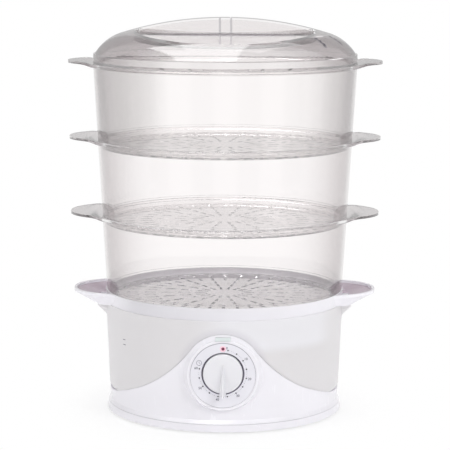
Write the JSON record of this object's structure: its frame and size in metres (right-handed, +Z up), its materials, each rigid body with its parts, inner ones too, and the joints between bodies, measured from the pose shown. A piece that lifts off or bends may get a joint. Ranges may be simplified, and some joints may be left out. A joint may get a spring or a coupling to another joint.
{
  "type": "electric food steamer",
  "caption": "Round electric food steamer: housing with timer knob, frosted tank, drip tray, nesting clear bowls and domed lid.",
  "frame": {"origin": "on the table, on the steamer's upright axis", "axes": "+Z up, -Y the front with the timer knob, +X the right side seen from the front"},
  "size_m": [0.3094, 0.2674, 0.3902],
  "materials": {
    "white_plastic": "smooth moulded",
    "frosted_plastic": "finely frosted",
    "clear_plastic": "clear polished",
    "lens_plastic": "milky window",
    "lamp_glass": "neon lamp",
    "plate_aluminium": "cast and turned",
    "element_steel": "drawn",
    "clamp_steel": "zinc plated",
    "screw_steel": "zinc plated",
    "gasket_silicone": "moulded silicone",
    "fuse_sleeve": "woven glass sleeve",
    "dark_plastic": "moulded",
    "block_plastic": "moulded",
    "gland_rubber": "moulded",
    "foot_rubber": "moulded"
  },
  "bodies": {
    "base": {"bottom_cover": "white_plastic", "rubber_feet": "foot_rubber", "cover_screws": "screw_steel", "base_housing": "white_plastic", "water_tank": "frosted_plastic", "heating_plate": "plate_aluminium", "heater_gasket": "gasket_silicone", "heater_clamp": "clamp_steel", "heater_screws": "screw_steel", "heating_element": "element_steel", "thermostat": "clamp_steel", "thermal_fuse": "fuse_sleeve", "timer_body": "dark_plastic", "timer_bell": "clamp_steel", "timer_screws": "screw_steel", "dial_plate": "white_plastic", "pilot_lens": "lens_plastic", "pilot_lamp": "lamp_glass", "lamp_holder": "dark_plastic", "cord_gland": "gland_rubber", "terminal_block": "block_plastic"},
    "knob": {"timer_knob": "white_plastic", "timer_shaft": "element_steel"},
    "steam_ring": {"steam_ring": "white_plastic"},
    "drip_tray": {"drip_tray": "white_plastic"},
    "bowl_1": {"bowl_1": "clear_plastic"},
    "bowl_2": {"bowl_2": "clear_plastic"},
    "bowl_3": {"bowl_3": "clear_plastic"},
    "lid": {"lid": "clear_plastic"}
  },
  "joints": [
    {"name": "timer_turn", "type": "hinge", "parent": "base", "child": "knob", "pos_m": [0, -0.118, 0.0596], "axis": [0, 1, 0], "range_deg": [0, 280]},
    {"name": "ring_lift", "type": "slide", "parent": "base", "child": "steam_ring", "axis": [0, 0, 1], "range_m": [0, 0.075]},
    {"name": "tray_lift", "type": "slide", "parent": "base", "child": "drip_tray", "axis": [0, 0, 1], "range_m": [0, 0.15]},
    {"name": "bowl_1_lift", "type": "slide", "parent": "drip_tray", "child": "bowl_1", "axis": [0, 0, 1], "range_m": [0, 0.12]},
    {"name": "bowl_2_lift", "type": "slide", "parent": "bowl_1", "child": "bowl_2", "axis": [0, 0, 1], "range_m": [0, 0.12]},
    {"name": "bowl_3_lift", "type": "slide", "parent": "bowl_2", "child": "bowl_3", "axis": [0, 0, 1], "range_m": [0, 0.12]},
    {"name": "lid_lift", "type": "slide", "parent": "bowl_3", "child": "lid", "axis": [0, 0, 1], "range_m": [0, 0.12]}
  ],
  "couplings": [
    {"joint": "ring_lift", "follows": "tray_lift", "ratio": 0.5}
  ]
}
